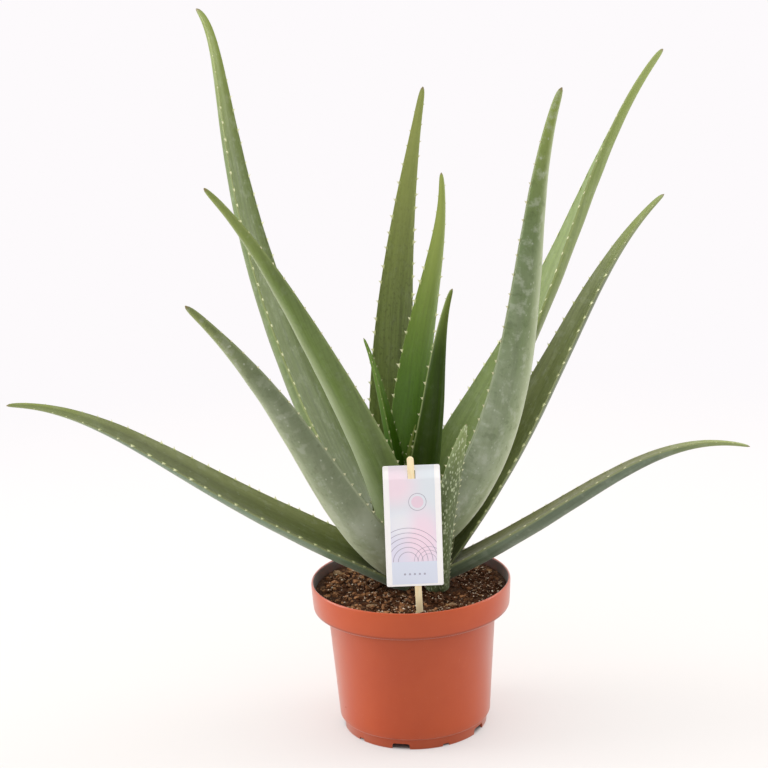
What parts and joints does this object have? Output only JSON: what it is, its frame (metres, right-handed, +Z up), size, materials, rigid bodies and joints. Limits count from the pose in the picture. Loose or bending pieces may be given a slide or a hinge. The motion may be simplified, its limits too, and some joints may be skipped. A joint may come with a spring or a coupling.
{
  "type": "potted aloe plant",
  "caption": "Aloe with tall arching fleshy leaves, toothed along both edges, in a round tapered terracotta-coloured nursery pot of bark soil, with a pastel tag on a flat wooden stick.",
  "frame": {"origin": "the pot's axis at the ground, in the middle of the disc under the pot's floor", "axes": "+Z up along the pot's axis; -Y towards the front, the side where the tag faces; +X to the right seen from the front"},
  "size_m": [0.599, 0.3092, 0.608],
  "materials": {
    "pot_plastic": "satin",
    "potting_soil": "rough, damp peat and bark",
    "stem_flesh": "matte",
    "leaf_green": "satin",
    "leaf_bright": "satin",
    "leaf_bloom": "matte with a pale waxy bloom",
    "leaf_spotted": "satin with white flecks",
    "tag_card": "satin",
    "stick_wood": "plain"
  },
  "bodies": {
    "root": {"pot": "pot_plastic", "soil": "potting_soil", "crown_stem": "stem_flesh", "leaf_arching_right": "leaf_green", "leaf_arching_left": "leaf_green", "leaf_centre_back": "leaf_green", "leaf_tall_left": "leaf_green", "leaf_tall_right": "leaf_bright", "leaf_mid_right": "leaf_green", "leaf_low_left": "leaf_bloom", "leaf_mid_left": "leaf_green", "leaf_tall_front": "leaf_bloom", "leaf_bright_centre": "leaf_bright", "leaf_dark_centre": "leaf_green", "leaf_small_left": "leaf_bright", "leaf_newest": "leaf_bright", "leaf_spotted_offset": "leaf_spotted", "plant_tag": "tag_card", "tag_stick": "stick_wood"}
  },
  "joints": []
}
